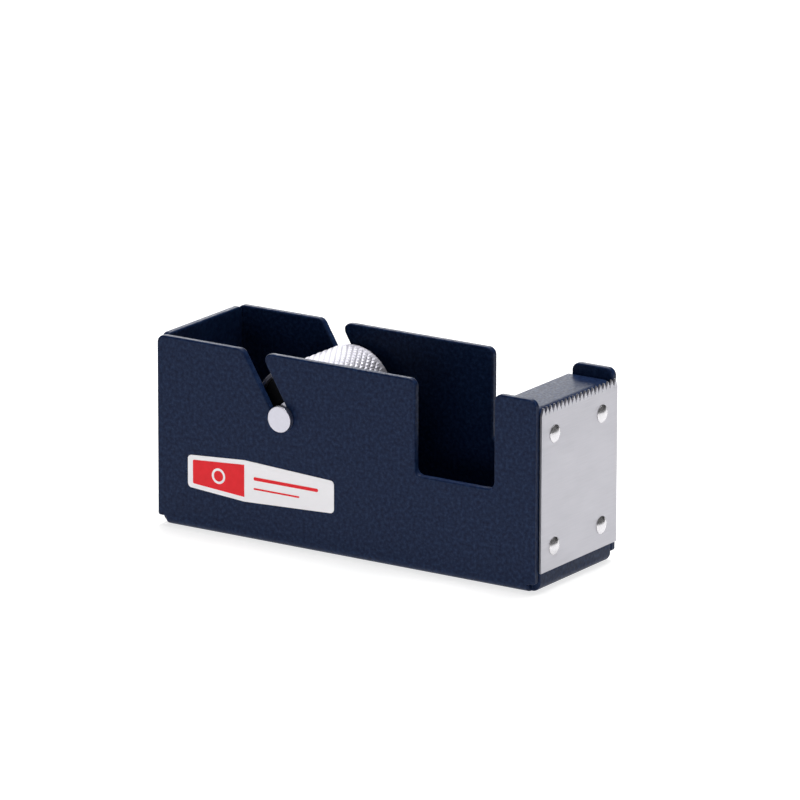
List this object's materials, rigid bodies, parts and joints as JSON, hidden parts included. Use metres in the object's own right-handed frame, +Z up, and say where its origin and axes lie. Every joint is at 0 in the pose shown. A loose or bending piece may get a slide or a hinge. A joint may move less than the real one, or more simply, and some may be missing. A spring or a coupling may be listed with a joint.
{
  "type": "tape dispenser",
  "caption": "Low desk tape dispenser: folded sheet-metal body, riveted toothed blade and a knurled drum on a spindle that lifts out of slanted slots.",
  "frame": {"origin": "middle of the bounding box's footprint, on the desk under the pad", "axes": "+X along the length towards the blade, +Y across to the wall without the label, +Z up"},
  "size_m": [0.1216, 0.0436, 0.0528],
  "materials": {
    "body_paint": "semi-gloss powder coat, fine mottle",
    "blade_steel": "satin",
    "rivet_steel": "polished",
    "spindle_steel": "bright turned",
    "drum_metal": "diamond knurled",
    "hub_plastic": "moulded, matt",
    "label_white": "printed film",
    "label_colour": "printed film",
    "pad_rubber": "matt"
  },
  "bodies": {
    "body": {"body_shell": "body_paint", "cutter_blade": "blade_steel", "blade_rivet_1": "rivet_steel", "blade_rivet_2": "rivet_steel", "blade_rivet_3": "rivet_steel", "blade_rivet_4": "rivet_steel", "base_pad": "pad_rubber", "label_sheet": "label_white", "label_block": "label_colour"},
    "spindle": {"spindle_rod": "spindle_steel", "spindle_head_near": "spindle_steel", "spindle_head_far": "spindle_steel", "spindle_washer_near": "spindle_steel", "spindle_washer_far": "spindle_steel"},
    "drum": {"drum_tube": "drum_metal", "drum_hub_near": "hub_plastic", "drum_hub_far": "hub_plastic"}
  },
  "joints": [
    {"name": "axle_lift", "type": "slide", "parent": "body", "child": "spindle", "axis": [-0.515, 0, 0.8572], "range_m": [0, 0.04]},
    {"name": "drum_spin", "type": "hinge", "parent": "spindle", "child": "drum", "pos_m": [-0.02022, 0, 0.0359], "axis": [0, 1, 0], "continuous": true}
  ]
}
